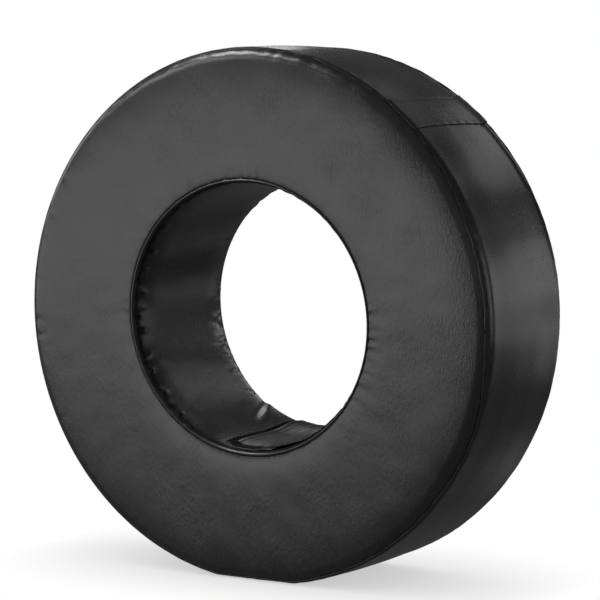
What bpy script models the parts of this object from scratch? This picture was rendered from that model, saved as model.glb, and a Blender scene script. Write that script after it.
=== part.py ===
"""Tackling wheel: a slab-built foam ring in a sewn vinyl cover, standing on its tread.

The wheel's axle line runs along Y, the front face looks to -Y, and the ring stands on the
floor at z = 0, pressed flat where it rests.  All lengths are metres and all angles degrees.

The cover is four vinyl panels (two faces, the tread and the bore lining), joined by four
welted seams.  In the bottom of the bore the lining has a mouth, through which the foam goes
in.  A flap hinged on its own stitch line covers the mouth and holds by hook and loop tape.

Angles round the ring are counted from +X towards +Z, so the bottom is at 270.
"""

import math

import bmesh
import bpy
import numpy as np

# The ring
OUTER_DIAMETER = 1.2192
WIDTH = 0.3684
BORE_DIAMETER = 0.594
SHOULDER_RADIUS = 0.033
BORE_EDGE_RADIUS = 0.016
FACETS = 42

# The foam's own form under the cover
FACE_CROWN = 0.004
TREAD_CROWN = 0.0025
SQUASH = 0.013
OUTER_SAG = 0.0034
BORE_SAG = 0.0043
SAG_DIRECTION = -24.0

# The core's slabs, cut through once so that the ring can be fed through the mouth
MIDDLE_SLAB_THICKNESS = 0.118
SLIT_ANGLE = 294.0
SLIT_WIDTH = 0.0006

# The cover
COVER_THICKNESS = 0.0012
CLEARANCE = 0.0003

# The welted seams
SEAM_DRAW = 0.0025
SEAM_ALLOWANCE = 0.010
WELT_RADIUS = 0.0022
WELT_FLANGE = 0.0012
OUTER_SEAM_ANGLE = 45.0
BORE_SEAM_ANGLE = 10.0

# The patch over the joint of the tread band
PATCH_THICKNESS = 0.002
PATCH_START_ANGLE = 45.5
PATCH_END_ANGLE = 54.2
PATCH_END_GAP = 0.0015

# The closure in the bottom of the bore
CLOSURE_LIFT = 0.009
CLOSURE_START_ANGLE = 238.0
CLOSURE_RISE_SPAN = 9.0
CLOSURE_FALL_SPAN = 36.0
LOOP_TAPE_START_ANGLE = 250.0
FLAP_FREE_ANGLE = 256.0
HOOK_TAPE_START_ANGLE = 257.2
TAPE_END_ANGLE = 266.3
MOUTH_START_ANGLE = 272.0
FLAP_HINGE_ANGLE = 316.0
HEM_END_ANGLE = 321.0
MOUTH_MARGIN = 0.018
FLAP_OVERLAP = 0.016
FLAP_THICKNESS = 0.0024
TAPE_INSET = 0.006
TAPE_THICKNESS = 0.0016

# Values that follow from the sizes above
OUTER_RADIUS = OUTER_DIAMETER / 2
BORE_RADIUS = BORE_DIAMETER / 2
HALF_WIDTH = WIDTH / 2
AXLE_HEIGHT = OUTER_RADIUS - SQUASH
TREAD_EDGE_RADIUS = OUTER_RADIUS - TREAD_CROWN
TREAD_EDGE_Y = HALF_WIDTH - SHOULDER_RADIUS
LINING_EDGE_Y = HALF_WIDTH - BORE_EDGE_RADIUS
SLAB_JOINT_Y = MIDDLE_SLAB_THICKNESS / 2
SEAM_HALF_GAP = WELT_FLANGE / 2 + CLEARANCE
CORE_DEPTH = COVER_THICKNESS + CLEARANCE
FACET_ANGLE = 360.0 / FACETS
BOTTOM_ANGLE = 270.0
RIGHT_ANGLE = 90.0
MOUTH_HALF_WIDTH = LINING_EDGE_Y - MOUTH_MARGIN
FLAP_HALF_WIDTH = MOUTH_HALF_WIDTH + FLAP_OVERLAP
TAPE_HALF_WIDTH = FLAP_HALF_WIDTH - TAPE_INSET
TAPE_STACK = 2 * TAPE_THICKNESS + 3 * CLEARANCE

# Two angles closer than this are one, and facets that meet flatter than this look round
ANGLE_TOLERANCE = 1e-5
SHARP_ANGLE = 32.0

# How the face's crown and the rolled edges are divided
FACE_CROWN_SHARES = (0.2, 0.5, 0.8)
SHOULDER_ROLL_SHARE = 0.5
BORE_ROLL_SHARES = (0.45, 1.0)
WELT_BEAD_ANGLES = (-30.0, 30.0, 90.0, 150.0, 210.0)


def smooth_step(share):
    """Goes from 0 to 1 as its argument does, level at both ends."""
    share = min(max(share, 0.0), 1.0)
    return share * share * (3 - 2 * share)


def tread_radius(y):
    """The tread's radius at y: highest over the middle slab, lower at the shoulders."""
    return float(np.interp(abs(y), (SLAB_JOINT_Y, TREAD_EDGE_Y), (OUTER_RADIUS, TREAD_EDGE_RADIUS)))


def sag(radius, angle):
    """How far the foam's own weight pushes a point outwards: the ring leans to an oval."""
    share = (radius - BORE_RADIUS) / (OUTER_RADIUS - BORE_RADIUS)
    most = BORE_SAG + (OUTER_SAG - BORE_SAG) * share
    return most * math.cos(math.radians(2 * (angle - SAG_DIRECTION)))


def place(radius, y, angle):
    """A point of the unloaded ring, moved to where it is on the standing ring.

    The sag makes the circle an oval.  The floor lifts the tread by as much as it would go
    below z = 0, and the foam takes up that lift evenly between the tread and the bore.
    """
    turn = math.radians(angle)
    tread = tread_radius(y)
    tread_bottom = (tread + sag(tread, angle)) * -math.sin(turn)
    lift = max(0.0, tread_bottom - AXLE_HEIGHT)
    share = min(max((radius - BORE_RADIUS) / (tread - BORE_RADIUS), 0.0), 1.0)
    reach = radius + sag(radius, angle)
    return np.array((reach * math.cos(turn), y, AXLE_HEIGHT + reach * math.sin(turn) + lift * share))


def on_facet(radius_at, y, angle):
    """A point at any angle, on the flat of the facet that it falls in.

    radius_at gives the radius at each of the facet's two corners.  Pieces that end between
    two corners so keep the same clearance to the pieces above and below them.
    """
    steps = (angle - BOTTOM_ANGLE) / FACET_ANGLE
    whole = math.floor(steps + ANGLE_TOLERANCE)
    share = steps - whole
    low_angle = BOTTOM_ANGLE + whole * FACET_ANGLE
    low = place(radius_at(low_angle), y, low_angle)
    if share < ANGLE_TOLERANCE:
        return low
    high_angle = low_angle + FACET_ANGLE
    high = place(radius_at(high_angle), y, high_angle)
    return low + (high - low) * share


def facet_angles(start, end):
    """The start, the facets' corners between, and the end."""
    first = math.floor((start - BOTTOM_ANGLE) / FACET_ANGLE + ANGLE_TOLERANCE) + 1
    last = math.ceil((end - BOTTOM_ANGLE) / FACET_ANGLE - ANGLE_TOLERANCE) - 1
    corners = [BOTTOM_ANGLE + step * FACET_ANGLE for step in range(first, last + 1)]
    return [start] + corners + [end]


def ring_angles():
    """The facets' corners once round the ring."""
    return [BOTTOM_ANGLE + step * FACET_ANGLE for step in range(FACETS)]


def unit(vector):
    """The vector at length 1."""
    return vector / np.linalg.norm(vector)


def inward(direction):
    """The normal on the foam's side of a stretch of the cover's outline."""
    return unit(np.array((direction[1], -direction[0])))


def offset_path(path, distance):
    """The open path moved towards the foam, with its corners mitred."""
    normals = [inward(b - a) for a, b in zip(path[:-1], path[1:])]
    moved = [path[0] + normals[0] * distance]
    for before, after, point in zip(normals[:-1], normals[1:], path[1:-1]):
        moved.append(point + (before + after) / (1 + before @ after) * distance)
    moved.append(path[-1] + normals[-1] * distance)
    return moved


def lengthen_path(path, distance):
    """The open path with both ends drawn out along their last stretches."""
    longer = list(path)
    longer[0] = path[0] + unit(path[0] - path[1]) * distance
    longer[-1] = path[-1] + unit(path[-1] - path[-2]) * distance
    return longer


def mirror_path(path):
    """The path on the other side of the ring's middle plane, in the outline's own order."""
    return [np.array((point[0], -point[1])) for point in reversed(path)]


# The cover's section is drawn in (radius, y).  The outline runs over the tread from the rear
# to the front, down the front face, back through the bore and up the rear face.


def shoulder_point(angle, draw=0.0):
    """On the front shoulder's arc, from 0 at the tread to 90 at the face."""
    turn = math.radians(angle)
    reach = SHOULDER_RADIUS - draw
    return np.array((
        TREAD_EDGE_RADIUS - SHOULDER_RADIUS + reach * math.cos(turn),
        -TREAD_EDGE_Y - reach * math.sin(turn),
    ))


def bore_edge_point(angle, draw=0.0):
    """On the bore's front edge, from 0 at the face to 90 at the lining."""
    turn = math.radians(angle)
    reach = BORE_EDGE_RADIUS - draw
    return np.array((
        BORE_RADIUS + BORE_EDGE_RADIUS - reach * math.sin(turn),
        -LINING_EDGE_Y - reach * math.cos(turn),
    ))


def outer_seam():
    """The front outer seam: its drawn-in point, and its outward and onward directions."""
    turn = math.radians(OUTER_SEAM_ANGLE)
    outward = np.array((math.cos(turn), -math.sin(turn)))
    onward = np.array((-math.sin(turn), -math.cos(turn)))
    return shoulder_point(OUTER_SEAM_ANGLE, SEAM_DRAW), outward, onward


def bore_seam():
    """The front bore seam: its drawn-in point, and its outward and onward directions."""
    turn = math.radians(BORE_SEAM_ANGLE)
    outward = np.array((-math.sin(turn), -math.cos(turn)))
    onward = np.array((-math.cos(turn), math.sin(turn)))
    return bore_edge_point(BORE_SEAM_ANGLE, SEAM_DRAW), outward, onward


def turned_edge(seam, side):
    """A panel's edge at a seam: its corner, and the end of the allowance turned inside."""
    point, outward, onward = seam
    corner = point + onward * SEAM_HALF_GAP * side
    return corner, corner - outward * SEAM_ALLOWANCE


def tread_path():
    """The tread from the rear seam to the front seam, with its edges turned in."""
    corner, allowance = turned_edge(outer_seam(), -1)
    front = [
        np.array((OUTER_RADIUS, -SLAB_JOINT_Y)),
        np.array((TREAD_EDGE_RADIUS, -TREAD_EDGE_Y)),
        shoulder_point(OUTER_SEAM_ANGLE * SHOULDER_ROLL_SHARE),
        corner,
        allowance,
    ]
    return mirror_path(front) + front


def face_path():
    """The front face from its outer seam to its bore seam, crowned, with its edges turned in."""
    corner, allowance = turned_edge(outer_seam(), 1)
    bore_corner, bore_allowance = turned_edge(bore_seam(), -1)
    edge = shoulder_point(RIGHT_ANGLE)
    roll = shoulder_point(RIGHT_ANGLE - (RIGHT_ANGLE - OUTER_SEAM_ANGLE) * SHOULDER_ROLL_SHARE)
    path = [allowance, corner, roll, edge]
    for share in FACE_CROWN_SHARES:
        radius = edge[0] + (bore_corner[0] - edge[0]) * share
        bulge = FACE_CROWN * (1 - (2 * share - 1) ** 2)
        path.append(np.array((radius, -HALF_WIDTH - bulge)))
    return path + [bore_corner, bore_allowance]


def lining_path():
    """The bore lining from the front seam to the rear seam, with its edges turned in."""
    corner, allowance = turned_edge(bore_seam(), 1)
    front = [allowance, corner]
    for share in BORE_ROLL_SHARES:
        front.append(bore_edge_point(BORE_SEAM_ANGLE + (RIGHT_ANGLE - BORE_SEAM_ANGLE) * share))
    front.append(np.array((BORE_RADIUS, -MOUTH_HALF_WIDTH)))
    return front + mirror_path(front)


# Meshes


def add_object(name, points, faces, material, origin=None):
    """One closed body of the given points and faces, with its normals outwards."""
    origin = np.zeros(3) if origin is None else origin
    body = bmesh.new()
    corners = [body.verts.new(tuple(point - origin)) for point in points]
    for face in faces:
        body.faces.new([corners[index] for index in face])
    caps = [face for face in body.faces if len(face.verts) > 4]
    bmesh.ops.triangulate(body, faces=caps)
    bmesh.ops.recalc_face_normals(body, faces=body.faces)
    mesh = bpy.data.meshes.new(name)
    body.to_mesh(mesh)
    body.free()
    mesh.shade_smooth()
    mesh.set_sharp_from_angle(angle=math.radians(SHARP_ANGLE))
    mesh.materials.append(material)
    thing = bpy.data.objects.new(name, mesh)
    thing.location = tuple(origin)
    bpy.context.scene.collection.objects.link(thing)
    return thing


def cell_faces(a, b, c, d):
    """A cell of the surface as two triangles, cut the same way in every layer."""
    return [(a, b, c), (a, c, d)]


def swept_solid(name, section_at, angles, closed, material):
    """A closed section carried round the ring.  An open sweep gets a cap at each end."""
    count = len(section_at(angles[0]))
    points = [
        on_facet(lambda corner, j=j: section_at(corner)[j][0], section_at(angle)[j][1], angle)
        for angle in angles
        for j in range(count)
    ]
    faces = []
    for i in range(len(angles) if closed else len(angles) - 1):
        here = i * count
        onward = (i + 1) % len(angles) * count
        for j in range(count):
            k = (j + 1) % count
            faces += cell_faces(here + j, here + k, onward + k, onward + j)
    if not closed:
        last = (len(angles) - 1) * count
        faces.append(tuple(range(count)))
        faces.append(tuple(range(last + count - 1, last - 1, -1)))
    return add_object(name, points, faces, material)


def shell_solid(name, outer_at, inner_at, angles, closed, material, missing=(), origin=None):
    """A sheet between two surfaces over the same cells, with walls round its edges and holes.

    outer_at and inner_at give the two paths at an angle.  missing lists the cells left out.
    """
    count = len(outer_at(angles[0]))
    points = []
    for path_at in (outer_at, inner_at):
        for angle in angles:
            ys = [point[1] for point in path_at(angle)]
            for j in range(count):
                points.append(on_facet(lambda corner, j=j: path_at(corner)[j][0], ys[j], angle))
    columns = len(angles)
    strips = columns if closed else columns - 1
    layer = columns * count
    cells = {(i, j) for i in range(strips) for j in range(count - 1)} - set(missing)

    def index(i, j):
        return i % columns * count + j

    faces = []
    for i, j in sorted(cells):
        a, b, c, d = index(i, j), index(i, j + 1), index(i + 1, j + 1), index(i + 1, j)
        faces += cell_faces(a, b, c, d)
        faces += cell_faces(layer + a, layer + b, layer + c, layer + d)
        before = ((i - 1) % columns if closed else i - 1, j)
        after = ((i + 1) % columns if closed else i + 1, j)
        edges = {(i, j - 1): (a, d), (i, j + 1): (b, c), before: (a, b), after: (d, c)}
        for neighbour, (start, end) in edges.items():
            if neighbour not in cells:
                faces += cell_faces(start, end, layer + end, layer + start)
    return add_object(name, points, faces, material, origin)


def finish(name, colour, roughness, metallic=0.0):
    """A plain Principled finish for one piece."""
    material = bpy.data.materials.new(name)
    material.use_nodes = True
    shader = material.node_tree.nodes["Principled BSDF"]
    shader.inputs["Base Color"].default_value = (*colour, 1.0)
    shader.inputs["Roughness"].default_value = roughness
    shader.inputs["Metallic"].default_value = metallic
    material.diffuse_color = (*colour, 1.0)
    return material


# The foam core: three slabs glued face to face, each cut through once


def slab_joint(path, y):
    """The point where the path crosses the plane of a slab's joint."""
    crossing = sorted((point[1], point[0]) for point in path[2:-2])
    ys, radii = zip(*crossing)
    return np.array((np.interp(y, ys, radii), y))


def core_paths():
    """The foam's outline under the tread, the front face and the lining."""
    paths = (tread_path(), face_path(), lining_path())
    return [offset_path(lengthen_path(path, CLEARANCE), CORE_DEPTH) for path in paths]


def front_slab_section():
    """The front slab, grooved where the seam allowances press into it."""
    tread, face, lining = core_paths()
    y = -SLAB_JOINT_Y - CLEARANCE / 2
    on_tread = [slab_joint(tread, y)] + [point for point in tread[len(tread) // 2:] if point[1] < y]
    in_bore = [point for point in lining[:len(lining) // 2] if point[1] < y] + [slab_joint(lining, y)]
    return on_tread + face + in_bore


def middle_slab_section():
    """The middle slab, between the two glued joints."""
    tread, _, lining = core_paths()
    y = SLAB_JOINT_Y - CLEARANCE / 2
    return [slab_joint(tread, y), slab_joint(tread, -y), slab_joint(lining, -y), slab_joint(lining, y)]


def build_core():
    """The three slabs, open at the slit that lets the ring through the mouth."""
    half_slit = math.degrees(SLIT_WIDTH / 2 / BORE_RADIUS)
    angles = facet_angles(SLIT_ANGLE + half_slit - 360, SLIT_ANGLE - half_slit)
    front = front_slab_section()
    sections = {
        "core_slab_front": front,
        "core_slab_middle": middle_slab_section(),
        "core_slab_rear": mirror_path(front),
    }
    for name, section in sections.items():
        foam = finish(name, (0.20, 0.20, 0.21), 0.95)
        swept_solid(name, lambda angle, section=section: section, angles, False, foam)


# The cover's panels, sewn edge to edge


def lining_lift(angle):
    """How far the stiff closure holds the lining off the round of the bore."""
    rise = smooth_step((angle - CLOSURE_START_ANGLE) / CLOSURE_RISE_SPAN)
    fall = smooth_step((FLAP_HINGE_ANGLE - angle) / CLOSURE_FALL_SPAN)
    return CLOSURE_LIFT * rise * fall


def lifted_lining(path, angle):
    """The lining's path at an angle: lifted by the closure between its two rolled edges."""
    lift = lining_lift(angle % 360)
    edge_rolls = len(BORE_ROLL_SHARES)
    lifted = []
    for step, point in enumerate(path):
        from_edge = min(step, len(path) - 1 - step) - 1
        share = min(max(from_edge / edge_rolls, 0.0), 1.0)
        lifted.append(point - np.array((lift * share, 0.0)))
    return lifted


def build_face_panels():
    """The front and rear face panels."""
    outer = face_path()
    inner = offset_path(outer, COVER_THICKNESS)
    sides = {
        "front_face_panel": (outer, inner),
        "rear_face_panel": (mirror_path(outer), mirror_path(inner)),
    }
    for name, (top, under) in sides.items():
        vinyl = finish(name, (0.030, 0.030, 0.032), 0.42)
        shell_solid(name, lambda _, p=top: p, lambda _, p=under: p, ring_angles(), True, vinyl)


def build_tread_band():
    """The band round the tread, which the ring stands on."""
    outer = tread_path()
    inner = offset_path(outer, COVER_THICKNESS)
    vinyl = finish("tread_band", (0.030, 0.030, 0.032), 0.36)
    shell_solid("tread_band", lambda _: outer, lambda _: inner, ring_angles(), True, vinyl)


def build_bore_lining():
    """The lining of the bore, with the mouth cut out of its lowest part."""
    outer = lining_path()
    inner = offset_path(outer, COVER_THICKNESS)
    mouth_ends = (MOUTH_START_ANGLE, FLAP_HINGE_ANGLE)
    angles = sorted(list(mouth_ends) + [
        angle for angle in ring_angles()
        if all(abs(angle - end) > ANGLE_TOLERANCE * FACET_ANGLE for end in mouth_ends)
    ])
    middle = len(outer) // 2 - 1
    columns = [i for i, angle in enumerate(angles) if mouth_ends[0] <= angle < mouth_ends[1]]
    vinyl = finish("bore_lining", (0.026, 0.026, 0.028), 0.44)
    shell_solid(
        "bore_lining",
        lambda angle: lifted_lining(outer, angle),
        lambda angle: lifted_lining(inner, angle),
        angles, True, vinyl, missing=[(i, middle) for i in columns],
    )


# The welts: a vinyl bead on a flange that is sewn between two turned edges


def welt_section(seam):
    """The bead stands on the two panels' corners, and its flange goes down between them."""
    point, outward, onward = seam
    half = WELT_FLANGE / 2
    centre = point + outward * (WELT_RADIUS + CLEARANCE)
    neck = WELT_RADIUS + CLEARANCE - math.sqrt(WELT_RADIUS ** 2 - half ** 2)
    section = [point - onward * half - outward * SEAM_ALLOWANCE, point - onward * half + outward * neck]
    for angle in reversed(WELT_BEAD_ANGLES):
        turn = math.radians(angle)
        section.append(centre + (onward * math.cos(turn) + outward * math.sin(turn)) * WELT_RADIUS)
    section += [point + onward * half + outward * neck, point + onward * half - outward * SEAM_ALLOWANCE]
    return section


def build_welts():
    """The four welts, one in each seam."""
    outer = welt_section(outer_seam())
    bore = welt_section(bore_seam())
    sections = {
        "front_outer_welt": outer,
        "rear_outer_welt": mirror_path(outer),
        "front_bore_welt": bore,
        "rear_bore_welt": mirror_path(bore),
    }
    for name, section in sections.items():
        vinyl = finish(name, (0.035, 0.035, 0.037), 0.34)
        swept_solid(name, lambda _, s=section: s, ring_angles(), True, vinyl)


def build_patch():
    """The patch sewn over the joint of the tread band, from welt to welt."""
    surface = tread_path()[1:-1]
    setback = WELT_RADIUS + PATCH_END_GAP - SEAM_HALF_GAP
    surface[0] = surface[0] + unit(surface[1] - surface[0]) * setback
    surface[-1] = surface[-1] + unit(surface[-2] - surface[-1]) * setback
    under = offset_path(surface, -CLEARANCE)
    top = offset_path(surface, -CLEARANCE - PATCH_THICKNESS)
    angles = facet_angles(PATCH_START_ANGLE, PATCH_END_ANGLE)
    vinyl = finish("tread_splice_patch", (0.028, 0.028, 0.030), 0.40)
    shell_solid("tread_splice_patch", lambda _: top, lambda _: under, angles, False, vinyl)


# The closure


def flap_rise(angle):
    """The flap's underside above the bore: on the tapes, over the mouth, down to its hinge."""
    share = (FLAP_HINGE_ANGLE - angle) / (FLAP_HINGE_ANGLE - MOUTH_START_ANGLE)
    seat = CLEARANCE + (TAPE_STACK - CLEARANCE) * smooth_step(share)
    return lining_lift(angle) + seat


def strip(half_width, rise_at, thickness):
    """The two faces of a strip along the bore: rise_at is its underside above the bore."""
    ys = (-half_width, 0.0, half_width)

    def under(angle):
        return [np.array((BORE_RADIUS - rise_at(angle), y)) for y in ys]

    def top(angle):
        return [np.array((BORE_RADIUS - rise_at(angle) - thickness, y)) for y in ys]

    return top, under


def hinge_line():
    """A point of the hinge: the stitch line at the root of the flap, on its bore side."""
    return on_facet(lambda angle: BORE_RADIUS - flap_rise(angle) - FLAP_THICKNESS, 0.0, FLAP_HINGE_ANGLE)


def build_closure():
    """The loop tape on the lining, and the flap with its hook tape, hinged at its hem."""
    half_gap = math.degrees(CLEARANCE / 2 / BORE_RADIUS)
    hinge = hinge_line()

    top, under = strip(TAPE_HALF_WIDTH, lambda angle: lining_lift(angle) + CLEARANCE, TAPE_THICKNESS)
    angles = facet_angles(LOOP_TAPE_START_ANGLE, TAPE_END_ANGLE)
    loops = finish("lining_loop_tape", (0.018, 0.018, 0.019), 0.90)
    shell_solid("lining_loop_tape", top, under, angles, False, loops)

    top, under = strip(FLAP_HALF_WIDTH, flap_rise, FLAP_THICKNESS)
    vinyl = finish("flap_root_hem", (0.026, 0.026, 0.028), 0.42)
    angles = facet_angles(FLAP_HINGE_ANGLE + half_gap, HEM_END_ANGLE)
    shell_solid("flap_root_hem", top, under, angles, False, vinyl)

    vinyl = finish("closure_flap", (0.026, 0.026, 0.028), 0.40)
    angles = facet_angles(FLAP_FREE_ANGLE, FLAP_HINGE_ANGLE - half_gap)
    shell_solid("closure_flap", top, under, angles, False, vinyl, origin=hinge)

    stack = TAPE_THICKNESS + 2 * CLEARANCE
    top, under = strip(TAPE_HALF_WIDTH, lambda angle: lining_lift(angle) + stack, TAPE_THICKNESS)
    hooks = finish("flap_hook_tape", (0.016, 0.016, 0.017), 0.85)
    angles = facet_angles(HOOK_TAPE_START_ANGLE, TAPE_END_ANGLE)
    shell_solid("flap_hook_tape", top, under, angles, False, hooks, origin=hinge)
    print("flap hinge at", [round(float(value), 5) for value in hinge])


for old in list(bpy.data.objects):
    bpy.data.objects.remove(old, do_unlink=True)

build_core()
build_face_panels()
build_tread_band()
build_bore_lining()
build_welts()
build_patch()
build_closure()
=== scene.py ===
"""Tackling wheel: a foam ring in a black sewn vinyl cover, standing on a white floor.

The sections follow the wheel as it is made up: the foam, the tread, its patch, the two faces,
the lining of the bore, the welts in the seams, and the closure with its tapes and flap.
All lengths are metres.  Angles round the ring are degrees from +X towards +Z.
"""

import math

import bpy
import numpy as np
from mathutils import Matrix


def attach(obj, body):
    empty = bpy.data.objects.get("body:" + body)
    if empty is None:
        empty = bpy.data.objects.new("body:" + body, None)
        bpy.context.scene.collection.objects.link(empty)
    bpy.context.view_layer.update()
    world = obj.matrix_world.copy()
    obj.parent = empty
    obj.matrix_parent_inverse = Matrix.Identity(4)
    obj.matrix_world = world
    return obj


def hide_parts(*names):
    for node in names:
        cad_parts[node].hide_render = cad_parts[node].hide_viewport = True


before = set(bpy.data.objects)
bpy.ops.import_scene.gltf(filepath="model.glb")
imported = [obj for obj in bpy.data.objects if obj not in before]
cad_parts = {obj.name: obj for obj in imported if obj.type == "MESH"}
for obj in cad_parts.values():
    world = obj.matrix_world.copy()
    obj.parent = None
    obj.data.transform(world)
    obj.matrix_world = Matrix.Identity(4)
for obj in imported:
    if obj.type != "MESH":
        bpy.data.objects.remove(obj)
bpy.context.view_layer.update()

# The picture.  A white floor that glows evenly, with only a faint painted contact shade darkening
# its glow near the wheel, and a long lens a little above the axle, off to the front face's right.
# Soft boxes stand in a row in front and in a group behind for the tread and the lining, and the
# room is brighter in front than behind.

AXLE_HEIGHT = 0.5966
CAMERA_DISTANCE = 6.0116
CAMERA_TURN = 31.90
CAMERA_RISE = 5.26
AIM_TURN = -0.227
AIM_RISE = 0.250
LENS_MM = 157.14
SENSOR_MM = 36.0


def direction(turn, rise):
    """Unit vector from the wheel: turn is degrees from -Y towards +X, rise is degrees up."""
    flat = math.cos(math.radians(rise))
    return np.array((
        math.sin(math.radians(turn)) * flat,
        -math.cos(math.radians(turn)) * flat,
        math.sin(math.radians(rise)),
    ))


def put(name, data):
    """An object in the scene, at the origin."""
    made = bpy.data.objects.new(name, data)
    bpy.context.scene.collection.objects.link(made)
    return made


axle = np.array((0.0, 0.0, AXLE_HEIGHT))
lens = bpy.data.cameras.new("camera")
lens.lens = LENS_MM
lens.sensor_width = SENSOR_MM
lens.clip_end = 100.0
camera = put("camera", lens)
camera.location = axle + direction(CAMERA_TURN, CAMERA_RISE) * CAMERA_DISTANCE
camera.rotation_euler = (
    math.radians(90 - CAMERA_RISE + AIM_RISE), 0.0, math.radians(CAMERA_TURN + AIM_TURN),
)
bpy.context.scene.camera = camera
bpy.context.scene.view_settings.view_transform = "Standard"


def softbox(name, turn, rise, width, height, radiance, distance=4.0):
    """A flat soft light that faces the axle.  Its power is radiance times pi times its area."""
    light = bpy.data.lights.new(name, "AREA")
    light.shape = "RECTANGLE"
    light.size = width
    light.size_y = height
    light.energy = radiance * math.pi * width * height
    lamp = put(name, light)
    lamp.location = axle + direction(turn, rise) * distance
    lamp.rotation_euler = (math.radians(90 - rise), 0.0, math.radians(turn))
    lamp.visible_camera = False


for name, *values in (
    ("left", -72, 2, 1.2, 1.2, 1.8),
    ("far_left", -56, 0, 1.0, 1.2, 1.8),
    ("front_left", -42, 0, 1.0, 1.2, 1.8),
    ("front", -28, 0, 1.0, 1.2, 2.7),
    ("front_near", -14, 0, 1.0, 1.2, 1.9),
    ("low", -40, -14, 2.2, 0.7, 0.55),
    ("middle", -42, 19, 1.8, 0.9, 0.25),
    ("high_left", -50, 31, 2.2, 0.8, 5.6),
    ("top", -60, 55, 1.6, 0.7, 20.0),
    ("side", -97, 18, 1.4, 1.4, 2.0),
    ("back_left", -130, 46, 1.6, 1.0, 0.5),
    ("right", 100, 8, 2.0, 1.8, 1.2),
    ("front_right", 35, 12, 2.0, 1.6, 0.3),
    ("band", 132, -2, 0.5, 0.35, 0.55, 1.6),
    ("band_high", 134, 9, 0.5, 0.35, 0.80, 1.6),
    ("back_right", 140, 2, 1.2, 1.2, 0.22),
    ("back_low", 167, 8, 0.7, 0.7, 2.4),
    ("back_high", 168, 28, 1.9, 0.6, 0.8),
    ("back_middle", -170, 13, 1.2, 0.6, 1.4),
    ("back_top", 172, 46, 1.8, 0.6, 0.4),
    ("back_under", 160, -10, 1.0, 0.6, 0.47),
    ("back_floor", 173, -27, 0.9, 0.6, 0.2),
    ("back_step", 145, 19, 0.9, 0.6, 0.22),
    ("bore", 153, -10, 0.6, 0.7, 0.35),
    ("front_high", -19, 6, 1.0, 0.5, 1.2),
    ("front_low", -19, -11, 1.0, 0.5, 0.8),
    ("back_fold", -146, 28, 0.5, 1.1, 2.4),
):
    softbox("light_" + name, *values)

ROOM_FRONT = (0.150, 0.150, 0.153, 1.0)
ROOM_REAR = (0.092, 0.092, 0.094, 1.0)
ROOM_BLEND = 0.15


class Socket:
    """An output of a node.  Sums, products and powers of sockets and numbers add Math nodes."""

    def __init__(self, owner, output):
        self.owner = owner
        self.output = output

    def maths(self, operation, *values):
        settings = {"operation": operation}
        return self.owner.node("ShaderNodeMath", settings, dict(enumerate(values)))

    def __add__(self, other):
        return self.maths("ADD", self, other)

    def __radd__(self, other):
        return self.maths("ADD", other, self)

    def __sub__(self, other):
        return self.maths("SUBTRACT", self, other)

    def __rsub__(self, other):
        return self.maths("SUBTRACT", other, self)

    def __mul__(self, other):
        return self.maths("MULTIPLY", self, other)

    def __rmul__(self, other):
        return self.maths("MULTIPLY", other, self)

    def __pow__(self, other):
        return self.maths("POWER", self, other)


class Nodes:
    """The nodes of a tree, each made by one call."""

    def __init__(self, owner):
        owner.use_nodes = True
        self.tree = owner.node_tree

    def node(self, kind, settings=None, values=None, output=0):
        """One node: its settings first, then its sockets, by name or number, as values or links."""
        made = self.tree.nodes.new(kind)
        for setting, value in (settings or {}).items():
            setattr(made, setting, value)
        for place, value in (values or {}).items():
            if isinstance(value, Socket):
                self.tree.links.new(value.output, made.inputs[place])
            else:
                made.inputs[place].default_value = value
        return Socket(self, made.outputs[output]) if made.outputs else None


class Finish(Nodes):
    """A material: what is even is set on the shader, and what varies is built from nodes."""

    def __init__(self, name, colour, roughness, **even):
        self.material = bpy.data.materials.new(name)
        super().__init__(self.material)
        self.shader = self.tree.nodes["Principled BSDF"]
        self.shader.inputs["Base Color"].default_value = (*colour, 1.0)
        self.shader.inputs["Roughness"].default_value = roughness
        for place, value in even.items():
            self.shader.inputs[place.replace("_", " ")].default_value = value

    def feed(self, place, value):
        """Links a varying value to the shader."""
        self.tree.links.new(value.output, self.shader.inputs[place])

    def place(self, scale=(1.0, 1.0, 1.0)):
        """Coordinates in metres on the piece, scaled."""
        values = {"Vector": self.node("ShaderNodeTexCoord", output="Object"), "Scale": scale}
        return self.node("ShaderNodeMapping", None, values)

    def noise(self, at, scale, detail=2.0, roughness=0.5):
        """Even noise about 0.5, with its grain about 1 / scale across."""
        values = {"Vector": at, "Scale": scale, "Detail": detail, "Roughness": roughness}
        return self.node("ShaderNodeTexNoise", None, values)

    def emboss(self, height, depth, over=None):
        """Turns a height of 0 to 1 into relief of that depth in metres, over earlier relief."""
        values = {"Height": height, "Distance": depth}
        if over is not None:
            values["Normal"] = over
        return self.node("ShaderNodeBump", None, values)

    def tint(self, share, low, high):
        """A colour between two, by a share."""
        values = {0: share, 6: (*low, 1.0), 7: (*high, 1.0)}
        return self.node("ShaderNodeMix", {"data_type": "RGBA"}, values, output=2)


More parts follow.
